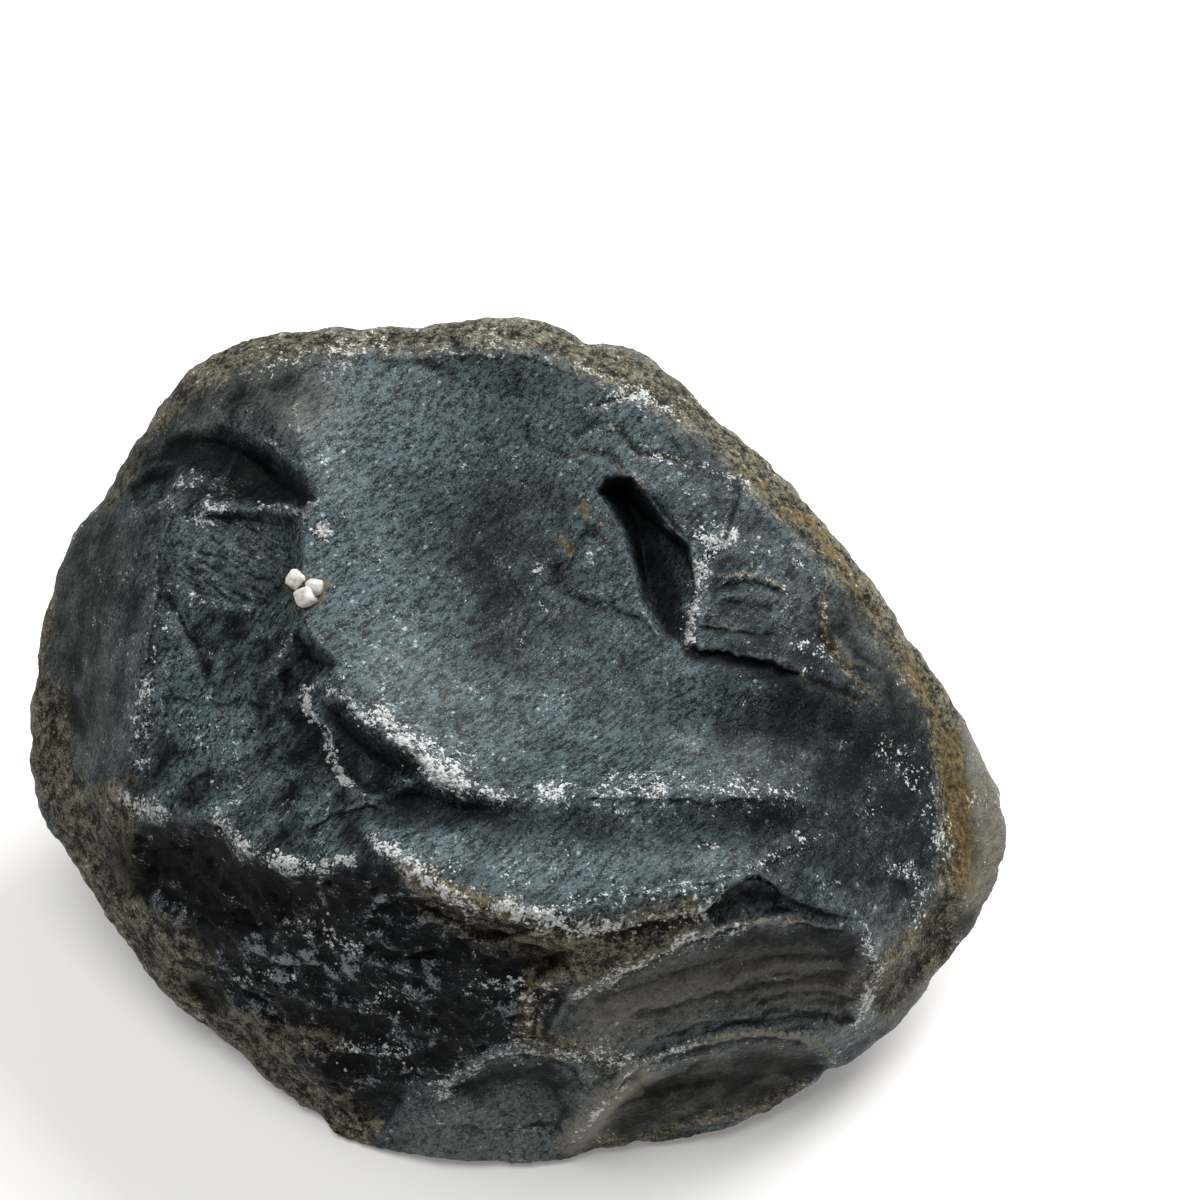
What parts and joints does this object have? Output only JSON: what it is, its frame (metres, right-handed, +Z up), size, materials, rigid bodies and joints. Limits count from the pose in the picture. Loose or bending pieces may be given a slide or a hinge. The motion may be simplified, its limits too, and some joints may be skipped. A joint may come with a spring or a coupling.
{
  "type": "broken basalt chunk",
  "caption": "Dark, heavy chunk of broken basalt with a hollow fracture face on top and stepped, scalloped edges, lying on a small flat spot; a garden or aquarium stone.",
  "frame": {"origin": "on the ground under the middle of the stone's bounding box, on the small flat spot that it lies on", "axes": "+Z up, +X to the right of the broken face seen from its front, +Y to the back"},
  "size_m": [0.15, 0.1124, 0.0798],
  "materials": {
    "basalt": "natural broken stone"
  },
  "bodies": {
    "root": {"basalt_chunk": "basalt"}
  },
  "joints": []
}
